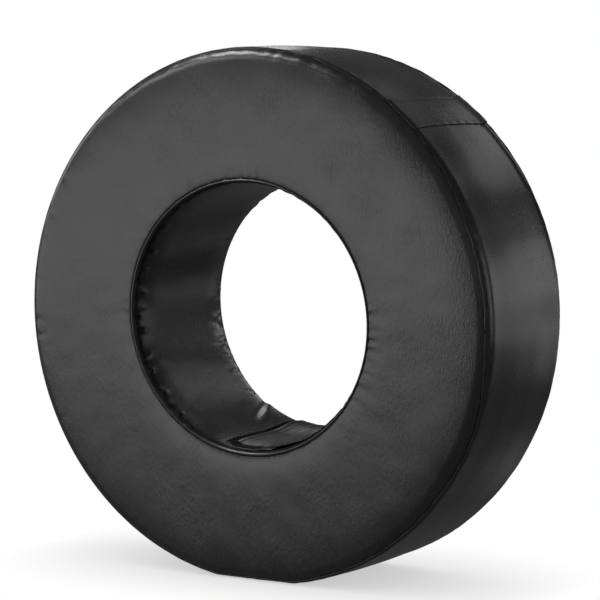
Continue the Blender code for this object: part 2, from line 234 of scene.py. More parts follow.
world = bpy.data.worlds.new("studio")
bpy.context.scene.world = world
studio = Nodes(world)
studio.tree.nodes.clear()
towards = studio.node("ShaderNodeTexCoord", output="Generated")
rearwards = studio.node("ShaderNodeSeparateXYZ", None, {0: towards}, output="Y")
behind = studio.node(
    "ShaderNodeMapRange", {"interpolation_type": "SMOOTHSTEP"},
    {"Value": rearwards, "From Min": -ROOM_BLEND, "From Max": ROOM_BLEND},
)
blend = {0: behind, 6: ROOM_FRONT, 7: ROOM_REAR}
walls = studio.node("ShaderNodeMix", {"data_type": "RGBA"}, blend, output=2)
room = studio.node("ShaderNodeBackground", None, {"Color": walls})
backdrop = studio.node("ShaderNodeBackground", None, {"Color": (1.0, 1.0, 1.0, 1.0)})
seen = studio.node("ShaderNodeLightPath", output="Is Camera Ray")
either = studio.node("ShaderNodeMixShader", None, {0: seen, 1: room, 2: backdrop})
studio.node("ShaderNodeOutputWorld", None, {0: either})

FLOOR_SIZE = 60.0
PAINTED_SHADE_REACH = 0.30
PAINTED_CONTACT_SHADE = 0.55
bpy.ops.mesh.primitive_plane_add(size=FLOOR_SIZE)
floor = bpy.context.object
floor.name = "floor"
# The floor glows evenly white, and ambient occlusion darkens that glow near the wheel: a painted contact
# shadow, not a cast one.
pale = Finish("pale_floor", (0.0, 0.0, 0.0), 0.5, Specular_IOR_Level=0.0, Emission_Strength=1.0)
near = pale.node("ShaderNodeAmbientOcclusion", None, {"Distance": PAINTED_SHADE_REACH}, output="AO")
shade = {"Value": near, "To Min": PAINTED_CONTACT_SHADE}
pale.feed("Emission Color", pale.node("ShaderNodeMapRange", None, shade))
floor.data.materials.append(pale.material)
floor.visible_glossy = floor.visible_diffuse = floor.visible_shadow = False

# The foam core.  Three slabs of dull charcoal foam, its open cells a millimetre or two across, cut
# from sheet as rings, glued face to face and cut through once, so that the ring can be fed into
# its cover.  It carries the wheel.

OUTER_RADIUS = 0.6096
BORE_RADIUS = 0.297
HALF_WIDTH = 0.1842
SHOULDER_RADIUS = 0.033
TREAD_CROWN = 0.0025
OUTER_SAG = 0.0034
BORE_SAG = 0.0043
SAG_DIRECTION = -24.0
SQUASH_BLEND = 0.0012
CORNER_TURNS = (-60, -45, -25, 0, 12, 25, 45, 58)
CORNER_PRESS = (0.0, 0.001, 0.0, 0.0, 0.001, 0.002, 0.003, 0.0)
CORNER_REACH = 0.046
TREAD_FALL_TURNS = (10, 20, 30, 42, 52, 62, 76, 92)
TREAD_FALL = (0.0, 0.002, 0.004, 0.0055, 0.005, 0.004, 0.001, 0.0)
TREAD_FALL_REACH = 0.080
TREAD_FALL_RADII = (0.48, 0.58)
CROWN_START_Y = 0.03
LINING_FLAT_Y = 0.10
LINING_TURN_Y = 0.0842
LINING_DROP = 0.0136
BARREL_LIMIT = 0.9999
SLAB_JOINT_Y = 0.059
SLIT_ANGLE = 294.0
SLIT_HALF_ANGLE = 0.06
TREAD_EDGE_RADIUS = OUTER_RADIUS - TREAD_CROWN
TREAD_EDGE_Y = HALF_WIDTH - SHOULDER_RADIUS


def smooth(share):
    """0 below 0, 1 above 1, and 3 share squared less 2 share cubed between."""
    share = np.clip(share, 0.0, 1.0)
    return share * share * (3 - 2 * share)


def ramp(value, start, end):
    """How far a value is from a start towards an end, eased: 0 before the start, 1 past the end."""
    return smooth((value - start) / (end - start))


def bell(away, reach):
    """A bell curve of a distance: 1 where it is 0, and 1 / e at the reach."""
    return np.exp(-((away / reach) ** 2))


def crowned_tread(y):
    """The tread's radius at y: full in the middle, less by the crown at the shoulders."""
    return OUTER_RADIUS - TREAD_CROWN * ramp(np.abs(y), CROWN_START_Y, TREAD_EDGE_Y)


def barrel(y):
    """The bore's radius at y: flat in the middle, then an ellipse out to each seam."""
    out = np.clip((np.abs(y) - LINING_FLAT_Y) / LINING_TURN_Y, 0.0, BARREL_LIMIT)
    return BORE_RADIUS + LINING_DROP * (1 - np.sqrt(1 - out * out))


def standing(radius, y, angle):
    """Where points of the ring lie when the wheel stands, as x, y, z in a last axis.

    Its weight makes each circle an oval: the radius grows by a sag times the cosine of twice
    the angle from the sag's direction.  The floor lifts the tread by as much as it would go
    below the floor, rounded off where that begins, and the lift fades evenly to the bore.
    The front corner leans back at the upper right, by a bell curve of the distance from it, and
    the tread falls off towards it there, by a wider bell curve of the distance from the face.
    """
    around = np.mod(angle + 80, 360) - 80
    press = np.interp(around, CORNER_TURNS, CORNER_PRESS)
    press = press * bell(radius - OUTER_RADIUS, CORNER_REACH) * bell(y + HALF_WIDTH, CORNER_REACH)
    fall = np.interp(around, TREAD_FALL_TURNS, TREAD_FALL) * ramp(radius, *TREAD_FALL_RADII)
    radius = radius - fall * bell(y + HALF_WIDTH, TREAD_FALL_REACH)
    y = y + press
    turn = np.radians(angle)
    tread = crowned_tread(y)
    oval = np.cos(2 * np.radians(angle - SAG_DIRECTION))
    share = (radius - BORE_RADIUS) / (OUTER_RADIUS - BORE_RADIUS)
    reach = radius + (BORE_SAG + (OUTER_SAG - BORE_SAG) * share) * oval
    below = -(tread + OUTER_SAG * oval) * np.sin(turn) - AXLE_HEIGHT
    lift = (below + np.sqrt(below * below + SQUASH_BLEND * SQUASH_BLEND)) / 2
    lift = lift * np.clip((radius - BORE_RADIUS) / (tread - BORE_RADIUS), 0.0, 1.0)
    x, y, _ = np.broadcast_arrays(reach * np.cos(turn), y, angle)
    return np.stack((x, y, AXLE_HEIGHT + reach * np.sin(turn) + lift), axis=-1)


def smooth_mesh(name, points, faces, finish):
    """A mesh object at the origin, smooth all over."""
    mesh = bpy.data.meshes.new(name)
    mesh.from_pydata(points, [], faces)
    mesh.shade_smooth()
    mesh.materials.append(finish)
    return put(name, mesh)


def declare(piece, node, body="wheel"):
    """Says which body a piece moves with, which solid it stands for."""
    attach(piece, body)
    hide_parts(node)


def ring_faces(rows, columns):
    """The quads of a grid that closes on itself both round the ring and round its section."""
    row, column = np.meshgrid(np.arange(rows), np.arange(columns), indexing="ij")
    onward = (row + 1) % rows * columns
    beside = (column + 1) % columns
    here = row * columns
    return np.stack((here + column, here + beside, onward + beside, onward + column), -1).reshape(-1, 4)


FOAM_DEPTH = 0.0022
FOAM_SHOULDER = 0.046
FOAM_BORE_EDGE = 0.024
FOAM_ROWS = 360
FOAM_SHARP_TURN = 40
GLUE_HALF_GAP = 0.00015

foam = Finish("open_cell_foam", (0.055, 0.055, 0.058), 0.95)
at = foam.place()
cells, large = (
    foam.node("ShaderNodeTexVoronoi", {"feature": feature}, {"Vector": at, "Scale": scale})
    for feature, scale in (("DISTANCE_TO_EDGE", 620.0), ("F1", 190.0))
)
tone = foam.noise(at, 30.0, 4.0)
foam.feed("Base Color", foam.tint(tone, (0.040, 0.040, 0.043), (0.072, 0.072, 0.076)))
relief = foam.emboss(cells * 4.0, 0.0006)
foam.feed("Normal", foam.emboss(large, 0.0012, relief))


def foam_slab(name, node, y_joint, y_end, side):
    """A slab, from one side of the slit round to the other.

    Its outline is a rectangle in radius and y, with a shoulder's and a bore edge's arc where the
    slab ends in a face.  side is -1 for the front slab, 1 for the rear one and 0 for the middle.
    """
    tread = TREAD_EDGE_RADIUS - FOAM_DEPTH
    bore = BORE_RADIUS + FOAM_DEPTH
    if side:
        steps = np.radians(np.linspace(0, 90, 7))
        bore_y = side * np.linspace(LINING_FLAT_Y, abs(y_end) - FOAM_BORE_EDGE, 9)
        edge_radius = barrel(bore_y[-1]) + FOAM_DEPTH + FOAM_BORE_EDGE * (1 - np.cos(steps[1:]))
        radius = np.concatenate((
            [tread, bore], barrel(bore_y) + FOAM_DEPTH, edge_radius,
            tread - FOAM_SHOULDER * (1 - np.sin(steps)),
        ))
        y = np.concatenate((
            [y_joint, y_joint], bore_y, bore_y[-1] + side * FOAM_BORE_EDGE * np.sin(steps[1:]),
            y_end - side * FOAM_SHOULDER * (1 - np.cos(steps)),
        ))
    else:
        radius = np.array((tread, bore, bore, tread))
        y = np.array((y_joint, y_joint, y_end, y_end))
    slit_sides = SLIT_ANGLE - 360 + SLIT_HALF_ANGLE, SLIT_ANGLE - SLIT_HALF_ANGLE
    angle = np.linspace(*slit_sides, FOAM_ROWS)[:, None]
    points = standing(radius[None], y[None] + 0 * angle, angle).reshape(-1, 3)
    count = len(radius)
    last = (FOAM_ROWS - 1) * count
    faces = [tuple(quad) for quad in ring_faces(FOAM_ROWS, count)[:-count]]
    faces += [(0, k + 1, k) for k in range(1, count - 1)]
    faces += [(last, last + k, last + k + 1) for k in range(1, count - 1)]
    slab = smooth_mesh(name, points, faces, foam.material)
    slab.data.set_sharp_from_angle(angle=math.radians(FOAM_SHARP_TURN))
    declare(slab, node)


middle_end = SLAB_JOINT_Y - GLUE_HALF_GAP
outer_start = SLAB_JOINT_Y + GLUE_HALF_GAP
slab_end = HALF_WIDTH - FOAM_DEPTH
foam_slab("foam_middle", "core_slab_middle", -middle_end, middle_end, 0)
foam_slab("foam_front", "core_slab_front", -outer_start, -slab_end, -1)
foam_slab("foam_rear", "core_slab_rear", outer_start, slab_end, 1)

# The tread band.  One strip of black coated fabric right round the outside, pulled tight over
# the foam, its edges turned in and sewn to the faces with a welt between them.

COVER_THICKNESS = 0.0012
FACE_OUTER_RADIUS = TREAD_EDGE_RADIUS - SHOULDER_RADIUS
RING_ROWS = 1080
SEAM_DRAW = 0.0025
SEAM_DRAW_REACH = 0.005
SEAM_SOFT_SHARE = 0.75
SEAM_SOFT_START = (2, 12)
SEAM_SOFT_END = (62, 52)
ALLOWANCE = 0.006
SEAM_HALF_GAP = 0.0009
FRONT_SEAM_TURNS = (-70, -48, -38, -26, -18, -8, 4, 22, 48, 60, 72, 92, 115, 140, 180, 240, 290)
FRONT_SEAM_ARCS = (33, 30, 31, 20, 24, 46, 50, 48, 30, 22, 16, 15, 18, 26, 34, 36, 33)
REAR_SEAM_TURNS = (0, 20, 36, 50, 66, 80, 100, 140, 250, 310)
REAR_SEAM_ARCS = (34, 28, 14, 10, 10, 14, 30, 45, 45, 38)
REAR_BUNCH_START = (-8, 22)
REAR_BUNCH_END = (92, 68)
REAR_RIDGE_HEIGHT = 0.0044
REAR_RIDGE_AWAY = 0.007
REAR_RIDGE_REACH = 0.009
REAR_GROOVE = 0.0036
REAR_GROOVE_REACH = 0.006
TREAD_STEPS = 42
CREASE_STRETCH = (1.0, 1.0, 0.35)


def seam_arc(angle, side):
    """How far round the shoulder the seam lies, from 0 at the tread to 90 at the face.

    side is -1 for the front seam and 1 for the rear one.  Both wander as hand-fed sewing does:
    a table of arcs, smoothed over ten degrees, with three sine waves of about a degree.
    """
    turn = np.radians(angle)
    waver = 1.1 * np.sin(53 * turn + side) + 0.9 * np.sin(71 * turn) + 0.8 * np.sin(29 * turn + 2)
    turns, arcs = (FRONT_SEAM_TURNS, FRONT_SEAM_ARCS) if side < 0 else (REAR_SEAM_TURNS, REAR_SEAM_ARCS)
    places = np.arange(0, 360, 0.5)
    fine = np.interp(places, np.array(turns, float), arcs, period=360)
    kernel = np.hanning(21)
    wide = np.convolve(np.concatenate((fine[-10:], fine, fine[:10])), kernel / kernel.sum(), "valid")
    return waver + np.interp(np.mod(angle, 360), places, wide, period=360)


def turn_from(place, angle):
    """How far round the ring an angle is from a place, from -180 to 180."""
    return np.mod(angle - place + 180, 360) - 180


def upper_rear(angle):
    """1 along the upper right of the ring and 0 elsewhere."""
    turn = turn_from(0, angle)
    return ramp(turn, *REAR_BUNCH_START) * ramp(turn, *REAR_BUNCH_END)


def seam_draw(angle, side, away):
    """How far a seam pulls the cover in, less where the front seam lies soft at the upper right."""
    turn = turn_from(0, angle)
    soft = ramp(turn, *SEAM_SOFT_START) * ramp(turn, *SEAM_SOFT_END) if side < 0 else 0 * turn
    return SEAM_DRAW * (1 - SEAM_SOFT_SHARE * soft) * np.exp(-away / SEAM_DRAW_REACH)


def rear_ridge(angle, away):
    """How far the upper rear edge stands up beside its seam, where the allowances bunch up."""
    ridge = REAR_RIDGE_HEIGHT * bell(away - REAR_RIDGE_AWAY, REAR_RIDGE_REACH)
    return upper_rear(angle) * (ridge - REAR_GROOVE * bell(away, REAR_GROOVE_REACH))


def rounded(turn, side, centre_radius, centre_y, reach):
    """Points on an edge's arc and their outward normals, each as a radius and a y."""
    turn = np.radians(turn)
    normal_radius, normal_y = np.cos(turn), side * np.sin(turn)
    radius = centre_radius + reach * normal_radius
    return radius, side * centre_y + reach * normal_y, normal_radius, normal_y


def shoulder(arc, side):
    """A shoulder's arc, from 0 at the tread."""
    return rounded(arc, side, FACE_OUTER_RADIUS, TREAD_EDGE_Y, SHOULDER_RADIUS)


def raised(shape, height):
    """A section moved along its normals."""
    radius, y, normal_radius, normal_y = shape
    return radius + normal_radius * height, y + normal_y * height, normal_radius, normal_y


def gathers(places, seed, width, depth, reach, slant):
    """A table of folds: places in degrees, and seeded values between the two limits of each."""
    chance = np.random.default_rng(seed)
    count = len(places)
    return [places] + [chance.uniform(*limits, count) for limits in (width, depth, reach, slant)]


def spread_places(count, seed, jitter=0.35):
    """Places evenly round the ring, each moved by a seeded share of a space."""
    chance = np.random.default_rng(seed)
    return (np.arange(count) + chance.uniform(-jitter, jitter, count)) * 360 / count


def folds(angle, away, table, lip=0.5):
    """Relief of short folds that run away from a seam, in metres.

    Each is a valley of its own depth with a raised lip on either side.  Across, both are bell
    curves of the angle.  Away from the seam it fades as an exponential of the distance over its
    reach, while it widens and leans by its slant.
    """
    relief = np.zeros(np.broadcast(angle, away).shape)
    for place, width, depth, reach, slant in zip(*table):
        near = (np.abs(turn_from(place, angle)) < 12 * width + abs(slant) * 5).any(axis=1)
        out = np.minimum(away[near] / reach, 9.0)
        off = turn_from(place, angle[near] - slant * out) / (width * (1 + 0.8 * out))
        fold = lip * bell(np.abs(off) - 1.7, 1) - bell(off, 1)
        relief[near] += depth * np.exp(-out) * fold
    return relief


def ripple(angle, along, seed, waves, length, height):
    """Slow unevenness of the foam under the vinyl: a sum of seeded sine waves on the surface."""
    chance = np.random.default_rng(seed)
    relief = np.zeros(np.broadcast(angle, along).shape)
    for _ in range(waves):
        turns = chance.integers(6, 44)
        rate = chance.uniform(-1, 1) * 2 * math.pi / length
        relief += np.sin(np.radians(angle) * turns + along * rate + chance.uniform(0, 2 * math.pi))
    return relief * height / math.sqrt(waves)


def runs(radius, y):
    """The distances along each row of a section from its first point and from its last one."""
    steps = np.hypot(np.diff(radius, axis=1), np.diff(y, axis=1))
    run = np.concatenate((np.zeros_like(radius[:, :1]), np.cumsum(steps, axis=1)), axis=1)
    return run, run[:, -1:] - run


def make_piece(name, points, faces, finish):
    """A smooth piece from one array of faces, turned outwards by the sign of its volume."""
    corners = points[faces]
    across = np.cross(corners[:, 1] - corners[:, 0], corners[:, 2] - corners[:, 0])
    across = across + np.cross(corners[:, 2] - corners[:, 0], corners[:, 3] - corners[:, 0])
    if (corners.mean(axis=1) * across).sum() < 0:
        faces = faces[:, ::-1]
    return smooth_mesh(name, points, faces, finish)


def swept(name, points, finish):
    """A piece from a grid of points that closes on itself both round the ring and across."""
    return make_piece(name, points.reshape(-1, 3), ring_faces(*points.shape[:2]), finish)


def panel(name, shape, angle, start, end, finish):
    """A panel right round the ring, as a closed skin.

    Its section runs over the outside, turns in at the end seam, comes back a cover's thickness
    under the outside on every fourth point, and turns in at the start seam.  start and end are
    the seams' places, against whose normals the turned edges go down.
    """
    thin = slice(-3, 2, -4)
    loop = [
        np.concatenate((
            at, at[:, -1:] - last * ALLOWANCE, (at - normal * COVER_THICKNESS)[:, thin],
            at[:, :1] - first * ALLOWANCE,
        ), axis=1)
        for at, normal, first, last in zip(shape[:2], shape[2:], start[2:], end[2:])
    ]
    points = standing(*loop, angle)
    points[..., 2] = np.maximum(points[..., 2], 0.0)
    return swept(name, points, finish)


def vinyl(name, roughness, tone=(0.0075, 0.0075, 0.0078), grain=1.0, slack=1.0, shine=0.5, crinkle=0.0):
    """Black coated fabric, pebbled about a millimetre across.

    The pebbles are cells whose edges are sunk, broken up by fine noise.  Creases run upright,
    and slack is how deep they and the unevenness over a centimetre or so are.  crinkle is the
    depth, in metres, of further creases that are stronger in some places than in others.
    """
    skin = Finish(name, tone, roughness, Specular_IOR_Level=shine)
    at = skin.place()
    pebbles = skin.node(
        "ShaderNodeTexVoronoi", {"feature": "SMOOTH_F1"},
        {"Vector": at, "Scale": 780.0, "Smoothness": 0.6, "Randomness": 0.9},
    )
    fine = skin.noise(at, 2600.0)
    slow = skin.noise(at, 9.0, 3.0)
    patchy = skin.noise(at, 75.0, 3.0, 0.6)
    skin.feed("Roughness", slow * 0.08 + patchy * 0.05 + (roughness - (0.08 + 0.05) / 2))
    lighter = tuple(shade * 2.2 + 0.006 for shade in tone)
    skin.feed("Base Color", skin.tint(patchy * slow * 2.0, tone, lighter))
    creases = skin.noise(skin.place(CREASE_STRETCH), 230.0, 4.0, 0.6)
    relief = skin.emboss(pebbles, -0.00007 * grain)
    relief = skin.emboss(fine, 0.000012 * grain, relief)
    relief = skin.emboss(creases, 0.00009 * slack, relief)
    if crinkle:
        relief = skin.emboss(creases * slow ** 3.0 * 8.0, crinkle, relief)
    skin.feed("Normal", skin.emboss(patchy, 0.00005 * slack, relief))
    return skin.material


def cover(piece, node, body="wheel"):
    """Declares a piece of the cover: the solid it stands for and the body it moves with."""
    declare(piece, node, body)


SEAM_GAP_ARC = math.degrees(SEAM_HALF_GAP / SHOULDER_RADIUS)
dense = np.linspace(0, 1, 13)[None] ** 1.5
ring_angle = np.linspace(0, 360, RING_ROWS, endpoint=False)[:, None]
tread_folds = [
    gathers(spread_places(96, seed), seed + 10, (0.5, 1.1), (0.0, 0.0009), (0.010, 0.028), (-0.6, 0.6))
    for seed in (5, 6)
]
patch_notch = gathers((56.0, 57.6), 18, (0.7, 0.9), (0.0022, 0.0030), (0.014, 0.020), (-0.4, 0.4))
patch_pulls = gathers((43.2, 41.6, 40.4), 19, (0.20, 0.26), (0.0003, 0.0005), (0.080, 0.110), (-0.6, 0.0))


def tread_shape(angle):
    """The tread's outside at each angle, from its rear seam over to its front one."""
    rear = shoulder((seam_arc(angle, 1) - SEAM_GAP_ARC) * (1 - dense), 1)
    front = shoulder((seam_arc(angle, -1) - SEAM_GAP_ARC) * (1 - dense[:, ::-1]), -1)
    across = np.linspace(TREAD_EDGE_Y, -TREAD_EDGE_Y, TREAD_STEPS)[None, 1:-1] + 0 * angle
    flat = (crowned_tread(across), across, np.ones_like(across), np.zeros_like(across))
    shape = [np.concatenate(part, axis=1) for part in zip(rear, flat, front)]
    from_rear, from_front = runs(*shape[:2])
    relief = ripple(angle, from_rear, 8, 9, 0.30, 0.00022)
    for away, table, side in ((from_front, tread_folds[0], -1), (from_rear, tread_folds[1], 1)):
        relief += folds(angle, away, table) - seam_draw(angle, side, away)
    relief += folds(angle, from_front, patch_notch) + folds(angle, from_rear, patch_pulls, 1.0)
    relief += rear_ridge(angle, from_rear)
    return raised(shape, relief)


start, end = (shoulder(seam_arc(ring_angle, side), side) for side in (1, -1))
tread_vinyl = vinyl("tread_vinyl", roughness=0.27, grain=0.4, slack=0.6)
tread = panel("tread_cover", tread_shape(ring_angle), ring_angle, start, end, tread_vinyl)
cover(tread, "tread_band")

# The patch.  A band of the same fabric, sewn over the tread's joint from one seam to the other
# with a row of stitches along each long edge.

PATCH_START = 45.5
PATCH_END = 54.2
PATCH_THICKNESS = 0.002
PATCH_LIFT = 0.0003
STITCH_PITCH = 0.0048
STITCH_LENGTH = 0.0034
STITCH_LIFT = 0.4
STITCH_DIP = 3.2
STITCH_SIDES = 6
STITCH_SLIM = (0.35, 0.9, 1.0, 0.9, 0.35)
THREAD_RADIUS = 0.00045
PATCH_REAR_BUNCH = 0.0030
PATCH_BUNCH_REACH = 0.020
PATCH_HEM_RAISE = 0.0006
PATCH_HEM_REACH = 0.004
PATCH_WRINKLE = 0.0005
PATCH_WRINKLE_REACH = 0.006
PATCH_WRINKLE_RATE = 160


def edged(steps, length, edge):
    """Places 0 to 1 along a length, with close ones within an edge's roundness of either end."""
    near = edge / length * np.array((0.0, 0.12, 0.35, 0.65, 1.0))
    inner = np.linspace(near[-1], 1 - near[-1], steps)[1:-1]
    return np.concatenate((near, inner, 1 - near[::-1]))


def two_sided(name, upper, lower, quads, finish):
    """A closed piece from two grids of points, the upper one's quads, and a wall round each rim.

    A rim's edges are those that no other quad runs along the other way.
    """
    below = upper[..., 0].size
    edges = np.concatenate([quads[:, [k, (k + 1) % 4]] for k in range(4)])
    rim = edges[~np.isin(edges @ (below, 1), edges @ (1, below))]
    wall = np.stack((rim[:, 1], rim[:, 0], rim[:, 0] + below, rim[:, 1] + below), -1)
    points = np.concatenate((upper.reshape(-1, 3), lower.reshape(-1, 3)))
    faces = np.concatenate((quads, quads[:, ::-1] + below, wall))
    used, faces = np.unique(faces, return_inverse=True)
    return make_piece(name, points[used], faces.reshape(-1, 4), finish)


def slab_of(name, upper, lower, finish):
    """A closed piece from two grids of points of one shape: its upper side and its lower side."""
    rows, columns = upper.shape[:2]
    grid = ring_faces(rows, columns).reshape(rows, columns, 4)
    return two_sided(name, upper, lower, grid[:-1, :-1].reshape(-1, 4), finish)


def roundness(first, second, edge):
    """How full a thin piece is at each place, from 0 at its rim to 1: a quarter circle's height.

    first and second are distances to the nearest end and to the nearest side, in metres.
    """
    full = 1.0
    for away in (first, second):
        full = full * np.sqrt(1 - (1 - np.clip(away / edge, 0.0, 1.0)) ** 2)
    return full


def from_ends(share):
    """How far a share of 0 to 1 is from the nearer end."""
    return np.minimum(share, 1 - share)


def stitches(name, path, normal, body="wheel"):
    """A row of stitches along a path of points: each a small capsule that dips at both ends.

    normal is the direction away from the fabric at each point, of any length.
    """
    normal = normal / np.linalg.norm(normal, axis=1, keepdims=True)
    steps = np.linalg.norm(np.diff(path, axis=0), axis=1)
    run = np.concatenate(([0.0], np.cumsum(steps)))
    count = int(run[-1] / STITCH_PITCH)
    turn = np.linspace(0, 2 * math.pi, STITCH_SIDES, endpoint=False)[None, None, :, None]
    slim = np.array(STITCH_SLIM)
    along = np.linspace(-0.5, 0.5, len(slim))
    centres = (np.arange(count) + 0.5) * STITCH_PITCH
    at = centres[:, None] + along[None] * STITCH_LENGTH
    spine, up = (
        np.stack([np.interp(at, run, part) for part in column.T], -1) for column in (path, normal)
    )
    spine = spine + up * (THREAD_RADIUS * (STITCH_LIFT - STITCH_DIP * along ** 2))[None, :, None]
    ahead = np.gradient(spine, axis=1)
    beside = np.cross(ahead, up)
    beside /= np.linalg.norm(beside, axis=-1, keepdims=True)
    ring = np.cos(turn) * beside[:, :, None] + np.sin(turn) * up[:, :, None]
    points = spine[:, :, None] + THREAD_RADIUS * slim[None, :, None, None] * ring
    sides = ring_faces(len(slim), STITCH_SIDES)[:-STITCH_SIDES]
    first_cap = np.array(((3, 2, 1, 0), (5, 4, 3, 0)))
    last_cap = first_cap[:, ::-1] + (len(slim) - 1) * STITCH_SIDES
    one = np.concatenate((sides, first_cap, last_cap))
    faces = one[None] + len(slim) * STITCH_SIDES * np.arange(count)[:, None, None]
    piece = make_piece(name, points.reshape(-1, 3), faces.reshape(-1, 4), thread)
    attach(piece, body)


patch_length = math.radians(PATCH_END - PATCH_START) * OUTER_RADIUS
patch_share = edged(60, patch_length, PATCH_THICKNESS / 2)[:, None]
patch_angle = PATCH_START + (PATCH_END - PATCH_START) * patch_share
shape = [part[:, 1:-1] for part in tread_shape(patch_angle)]
run, run_back = runs(*shape[:2])
full = roundness(patch_length * from_ends(patch_share), np.minimum(run, run_back), PATCH_THICKNESS / 2)
wrinkle = PATCH_WRINKLE * np.exp(-patch_share * patch_length / PATCH_WRINKLE_REACH)
wrinkle = wrinkle * (1 + np.sin(run * PATCH_WRINKLE_RATE))
wrinkle = wrinkle + PATCH_HEM_RAISE * np.exp(-(1 - patch_share) * patch_length / PATCH_HEM_REACH)
wrinkle = wrinkle + PATCH_REAR_BUNCH * bell(run, PATCH_BUNCH_REACH) * smooth(full)
middle = PATCH_LIFT + PATCH_THICKNESS / 2
patch_upper, patch_lower = (
    standing(*raised(shape, height)[:2], patch_angle)
    for height in (middle + wrinkle + PATCH_THICKNESS / 2 * full, middle - PATCH_THICKNESS / 2 * full)
)
patch_vinyl = vinyl("patch_vinyl", roughness=0.27, grain=0.4, slack=0.6)
patch = slab_of("tread_patch", patch_upper, patch_lower, patch_vinyl)
cover(patch, "tread_splice_patch")
thread = Finish("black_thread", (0.012, 0.012, 0.0125), 0.55).material
for name, row in (("patch_stitches_low", 10), ("patch_stitches_high", -11)):
    path = patch_upper[row, 4:-4]
    stitches(name, path, path * np.array((1.0, 0.0, 1.0)) - axle)

# The two faces.  Each is a ring of the same coated fabric, cut flat, crowned over the foam by
# its own tension, and sewn to the tread outside and to the lining inside.

FACE_CROWN = 0.004
BORE_EDGE_RADIUS = 0.016
FACE_INNER_RADIUS = BORE_RADIUS + BORE_EDGE_RADIUS
LINING_EDGE_Y = HALF_WIDTH - BORE_EDGE_RADIUS
BORE_SEAM_ARC = 10.0
BORE_GAP_ARC = math.degrees(SEAM_HALF_GAP / BORE_EDGE_RADIUS)
FACE_TILT = 6.9
BORE_SEAM_DRAW = 0.0022
BORE_DRAW_REACH = 0.0020
ROLL_DRAW = 0.0042
ROLL_REACH = 0.022
ROLL_DIRECTION = 264
ROLL_SPREAD = 42
ROLL_EVERYWHERE = 0.06
FACE_STEPS = 42
RIM_TICK_AWAY = 0.018
RIM_NICK_AWAY = 0.028
RIM_TICKS = (63, 67, 70, 74, 79, 83, 86, 91, 96, 101, 107, 113, 120, 128, 137)
RIM_NICKS = (149, 158, 163, 171, 174, 183, 187, 196, 207, 211, 224, 238)
FACE_TICKS = (242, 247, 251, 254, 258, 261, 266, 271, 281, 284, 288, 292, 298)
FRONT_PUCKERS = (4, -2, -6, -10, -15, -19, -25, -31, 84, 88, 92, 181)
REAR_PUCKERS = (31, 74, 118, 163, 201, 236, 287, 322)


def bore_edge(arc, side):
    """The arc of the bore's rolled edge, from 0 at the face."""
    return rounded(90 + arc, side, FACE_INNER_RADIUS, LINING_EDGE_Y, BORE_EDGE_RADIUS)


def face_cover(name, node, side, seed, puckers, finish):
    """A face panel: shoulder arc, crowned ring and bore edge, gathered along both its seams."""
    angle = ring_angle
    arc = seam_arc(angle, side) + SEAM_GAP_ARC
    over = shoulder(arc + (90 - FACE_TILT - arc) * dense, side)
    even = np.linspace(0, 1, FACE_STEPS)[None, 1:-1]
    share = (even + (1 - np.cos(math.pi * even)) / 2) / 2 + 0 * angle
    tilt = math.radians(FACE_TILT)
    outermost = FACE_OUTER_RADIUS + SHOULDER_RADIUS * math.sin(tilt)
    width = outermost - FACE_INNER_RADIUS + BORE_EDGE_RADIUS * math.sin(tilt)
    ring_radius = outermost - width * share
    slope = -8 * FACE_CROWN * (2 * share - 1) ** 3 / width
    length = np.hypot(slope, 1)
    bulge = FACE_CROWN * (1 - (2 * share - 1) ** 4)
    bulge = bulge - SHOULDER_RADIUS * (1 - math.cos(tilt)) * (1 - share)
    ring = (ring_radius, side * (HALF_WIDTH + bulge), slope / length, side / length)
    edge = bore_edge(np.linspace(FACE_TILT, BORE_SEAM_ARC - BORE_GAP_ARC, 3)[None] + 0 * angle, side)
    shape = [np.concatenate(part, axis=1) for part in zip(over, ring, edge)]
    from_tread, from_bore = runs(*shape[:2])
    relief = -seam_draw(angle, side, from_tread)
    relief -= BORE_SEAM_DRAW * np.exp(-from_bore / BORE_DRAW_REACH)
    low = bell(np.mod(angle, 360) - ROLL_DIRECTION, ROLL_SPREAD)
    roll = ROLL_DRAW * (ROLL_EVERYWHERE + (1 - ROLL_EVERYWHERE) * low)
    relief -= roll * np.exp(-from_bore / ROLL_REACH)
    if side > 0:
        relief += rear_ridge(angle, from_tread)
    relief += ripple(angle, from_tread, seed + 3, 14, 0.09, 0.00020)
    from_nicks = np.abs(from_tread - RIM_NICK_AWAY)
    from_ticks = np.abs(from_tread - RIM_TICK_AWAY)
    outer, inner = spread_places(104, seed), spread_places(60, seed + 1)
    for away, lip, places, more, *limits in (
        (from_tread, 0.5, outer, 4, (0.45, 1.1), (0.0001, 0.0010), (0.006, 0.016), (-0.8, 0.8)),
        (from_bore, 0.5, inner, 5, (0.7, 1.4), (0.0, 0.0004), (0.006, 0.014), (-1.0, 1.0)),
        (from_bore, 0.5, puckers, 6, (0.6, 1.0), (0.0005, 0.0012), (0.012, 0.030), (-0.4, 0.4)),
        (from_nicks, 0.2, RIM_NICKS, 7, (0.5, 0.9), (0.0003, 0.0009), (0.012, 0.022), (-0.8, 0.8)),
        (from_ticks, 0.4, RIM_TICKS, 9, (0.7, 1.6), (0.0004, 0.0011), (0.008, 0.016), (-0.8, 0.8)),
        (from_bore, 0.7, FACE_TICKS, 8, (0.30, 0.45), (0.0005, 0.0010), (0.006, 0.012), (-0.3, 0.3)),
    ):
        relief += folds(angle, away, gathers(places, seed + more, *limits), lip)
    end = bore_edge(BORE_SEAM_ARC + 0 * angle, side)
    face = panel(name, raised(shape, relief), angle, shoulder(arc, side), end, finish)
    cover(face, node)


face_vinyl = vinyl("face_vinyl", roughness=0.30, slack=2.0, crinkle=0.00032)
face_cover("front_face_cover", "front_face_panel", -1, 40, FRONT_PUCKERS, face_vinyl)
face_cover("rear_face_cover", "rear_face_panel", 1, 60, REAR_PUCKERS, face_vinyl)

